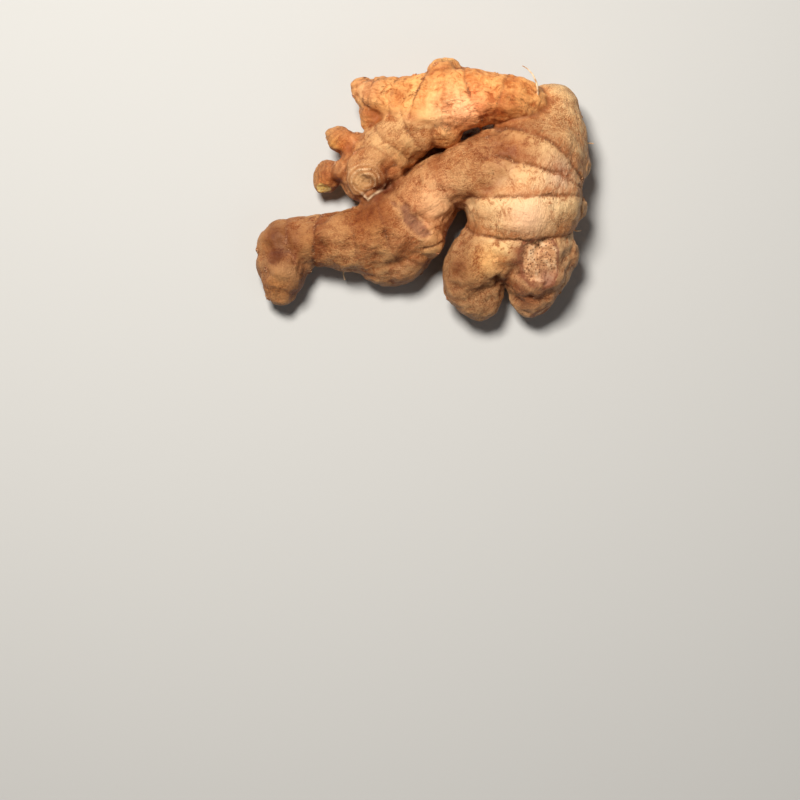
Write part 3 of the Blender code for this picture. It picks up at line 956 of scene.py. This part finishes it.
# ========================================
# Root scars. Thin roots grew from the sides and the underside and were trimmed off at harvest;
# each left a low corky collar round a broken stub.

ROOT_SCARS = {
    "Apart": 7.0 * MM, "Collar": 0.72 * MM, "Collar thickness": 0.17 * MM, "Stub": 0.26 * MM,
    "Raggedness": 0.6 * MM,
}


def root_scar_material():
    """Corky brown, a little darker than the skin round it."""
    material, tree, shader = new_material("root_scar_cork")
    mm = in_mm(tree)
    crumbs = cloud(tree, mm, 1.6, 4, 0.65)
    # The skin's tint carries its painted light and shade here too.
    tint = attribute(tree, "tint", "Vector")
    worn = mixed(tree, 1.0, tint, (0.55, 0.42, 0.34, 1), "MULTIPLY")
    fresh = mixed(tree, 0.5, worn, (0.8, 0.52, 0.28, 1))
    colour = mixed(tree, mapped(tree, crumbs, 0.4, 0.6), worn, fresh)
    link_up(tree, shader, colour, mapped(tree, crumbs, 0.3, 0.7, 0.75, 0.55), crumbs, 0.6, 0.2 * MM)
    return material


def circle(tree, corners, radius):
    inputs = {"Resolution": corners, "Radius": radius}
    return node(tree, "GeometryNodeCurvePrimitiveCircle", inputs).outputs[0]


tree, given = new_tree("root_scars", ROOT_SCARS)
normal_up = node(tree, "SeparateXYZ", {0: node(tree, "GeometryNodeInputNormal").outputs[0]}).outputs[2]
sideways = node(tree, "MapRange", {0: normal_up, 1: 0.75, 2: 0.1}).outputs[0]
off_table = node(tree, "MapRange", {0: height_here(tree), 1: 0.9 * MM, 2: 1.6 * MM}).outputs[0]
clean = maths(tree, "SUBTRACT", 1.0, maths(tree, "ADD", read(tree, "cork"), read(tree, "torn")), True)
spread = node(tree, "GeometryNodeDistributePointsOnFaces", {
    "Mesh": given["Geometry"], "Distance Min": given["Apart"], "Density Max": 1.0e5, "Seed": 11,
    "Density Factor": times(tree, times(tree, sideways, off_table), clean),
}, distribute_method="POISSON")
collar = node(tree, "GeometryNodeCurveToMesh", {
    "Curve": circle(tree, 12, given["Collar"]), "Profile Curve": circle(tree, 6, given["Collar thickness"]),
}).outputs[0]
stub = node(tree, "GeometryNodeMeshCone", {
    "Vertices": 8, "Radius Top": times(tree, given["Stub"], 0.7), "Radius Bottom": given["Stub"],
    "Depth": times(tree, given["Stub"], 2.2),
}).outputs["Mesh"]
sunk = node(tree, "GeometryNodeTransform", {"Geometry": stub, "Translation": (0, 0, -0.2 * MM)}).outputs[0]
scar = tree.nodes.new("GeometryNodeJoinGeometry")
tree.links.new(collar, scar.inputs[0])
tree.links.new(sunk, scar.inputs[0])
size = node(tree, "FunctionNodeRandomValue", {2: 0.4, 3: 1.25, "Seed": 4}).outputs[1]
scars = node(tree, "GeometryNodeInstanceOnPoints", {
    "Points": spread.outputs["Points"], "Instance": scar.outputs[0], "Scale": size,
    "Rotation": facing_out(tree, spread.outputs["Normal"], (-0.15, -0.15, -3.0), (0.15, 0.15, 3.0), 6),
}).outputs[0]

# Each scar is made real and ragged, so that no two are alike.
whole = node(tree, "GeometryNodeRealizeInstances", {0: scars}).outputs[0]
here = node(tree, "GeometryNodeInputPosition").outputs[0]
lumps = node(tree, "TexNoise", {"Vector": here, "Scale": 1100.0, "Detail": 1.0}).outputs["Color"]
centred = node(tree, "VectorMath", {0: lumps, 1: (0.5, 0.5, 0.5)}, operation="SUBTRACT").outputs[0]
wobble = node(tree, "VectorMath", {0: centred, "Scale": given["Raggedness"]}, operation="SCALE").outputs[0]
ragged_scars = node(tree, "GeometryNodeSetPosition", {"Geometry": whole, "Offset": wobble}).outputs[0]
grow("root_scars", fused.copy(), tree, ROOT_SCARS, ragged_scars, root_scar_material())


# ========================================
# Rootlets. A few fine pale roots escaped trimming: one hair-thin root curls up where the upper
# finger leaves the stem, and short broken ones stand on the right side and the lower finger.

ROOTLET = {"Thickness": 0.34 * MM}
STEPS_PER_BEND = 6
ROOTLET_PATHS = (
    ((30.5, 23, 21), (30.2, 26.5, 23.2), (29.2, 29.4, 23), (27.6, 31.4, 22.4), (26.2, 32.2, 22.6)),
    ((42.6, 12.2, 12), (44.6, 12.5, 12.6), (46.4, 12.4, 12.4)),
    ((-22, -20.5, 5.5), (-22.6, -22.6, 4.6), (-22.2, -24.6, 3.6)),
    ((40.5, -10.5, 8), (42.2, -11.2, 7), (43.6, -11, 5.6)),
)


def rootlet_material():
    """Pale straw, browner in patches."""
    material, tree, shader = new_material("rootlet_straw")
    mm = in_mm(tree)
    shades = ((0.36, (0.42, 0.2, 0.085)), (0.5, (0.7, 0.44, 0.23)), (0.66, (0.84, 0.63, 0.4)))
    colour = ramp(tree, cloud(tree, mm, 0.8, 3, 0.6), shades)
    link_up(tree, shader, colour, mapped(tree, cloud(tree, mm, 3.0, 2, 0.6), 0.3, 0.7, 0.55, 0.75))
    return material


routes = bpy.data.meshes.new("rootlet_routes")
corners = []
links = []
for path in ROOTLET_PATHS:
    rows = [np.array(row) for row in (path[0], *path, path[-1])]
    route = [
        between(*four, step / STEPS_PER_BEND) * MM
        for four in zip(rows, rows[1:], rows[2:], rows[3:])
        for step in range(STEPS_PER_BEND)
    ] + [rows[-1] * MM]
    links += [(len(corners) + k, len(corners) + k + 1) for k in range(len(route) - 1)]
    corners += [tuple(point) for point in route]
routes.from_pydata(corners, links, [])
tree, given = new_tree("rootlets", ROOTLET)
route = node(tree, "GeometryNodeMeshToCurve", {0: given["Geometry"]}).outputs[0]
along = node(tree, "GeometryNodeSplineParameter").outputs["Factor"]
thick = times(tree, mapped(tree, along, 0.0, 1.0, 1.0, 0.35), given["Thickness"])
tube = node(tree, "GeometryNodeCurveToMesh", {
    "Curve": route, "Profile Curve": circle(tree, 8, 1.0), "Scale": thick, "Fill Caps": True,
}).outputs[0]
grow("rootlets", routes, tree, ROOTLET, tube, rootlet_material())


# ========================================
# The table top, the light and the camera. A plain pale top, one large soft light overhead to
# the upper left, a weak fill, and a camera that looks straight down.

TABLE_HALF = 3.0

floor_mesh = bpy.data.meshes.new("table_top")
table_corners = [(x * TABLE_HALF, y * TABLE_HALF, 0) for x, y in ((-1, -1), (1, -1), (1, 1), (-1, 1))]
floor_mesh.from_pydata(table_corners, [], [(0, 1, 2, 3)])
floor = add_object("table_top", floor_mesh)
floor_material, _, floor_shader = new_material("table_top")
floor_shader.inputs["Base Color"].default_value = (0.52, 0.515, 0.5, 1)
floor_shader.inputs["Roughness"].default_value = 0.8
floor_mesh.materials.append(floor_material)


def area_light(name, place, size, watts, colour):
    """A square light that looks at the middle of the table."""
    light = bpy.data.lights.new(name, "AREA")
    light.size = size
    light.energy = watts
    light.color = colour
    lamp = add_object(name, light)
    lamp.location = place
    lamp.rotation_euler = (-Vector(place)).to_track_quat("-Z", "Y").to_euler()


area_light("key_light", (-0.13, 0.2, 0.58), 0.16, 6.0, (1.0, 0.965, 0.91))
area_light("fill_light", (0.35, -0.3, 0.5), 0.4, 0.3, (1.0, 1.0, 1.0))
world = bpy.data.worlds.new("studio")
world.use_nodes = True
world.node_tree.nodes["Background"].inputs["Color"].default_value = (0.98, 0.99, 1.0, 1)
world.node_tree.nodes["Background"].inputs["Strength"].default_value = 0.055
bpy.context.scene.world = world
bpy.context.scene.view_settings.view_transform = "Standard"

CAMERA_PLACE = (-0.00682, -0.05807, 0.6)
LENS_MM = 96.2
SENSOR_MM = 36
camera_data = bpy.data.cameras.new("camera")
camera_data.sensor_width = SENSOR_MM
camera_data.lens = LENS_MM
camera_data.clip_start = 0.01
camera = add_object("camera", camera_data)
camera.location = CAMERA_PLACE
bpy.context.scene.camera = camera
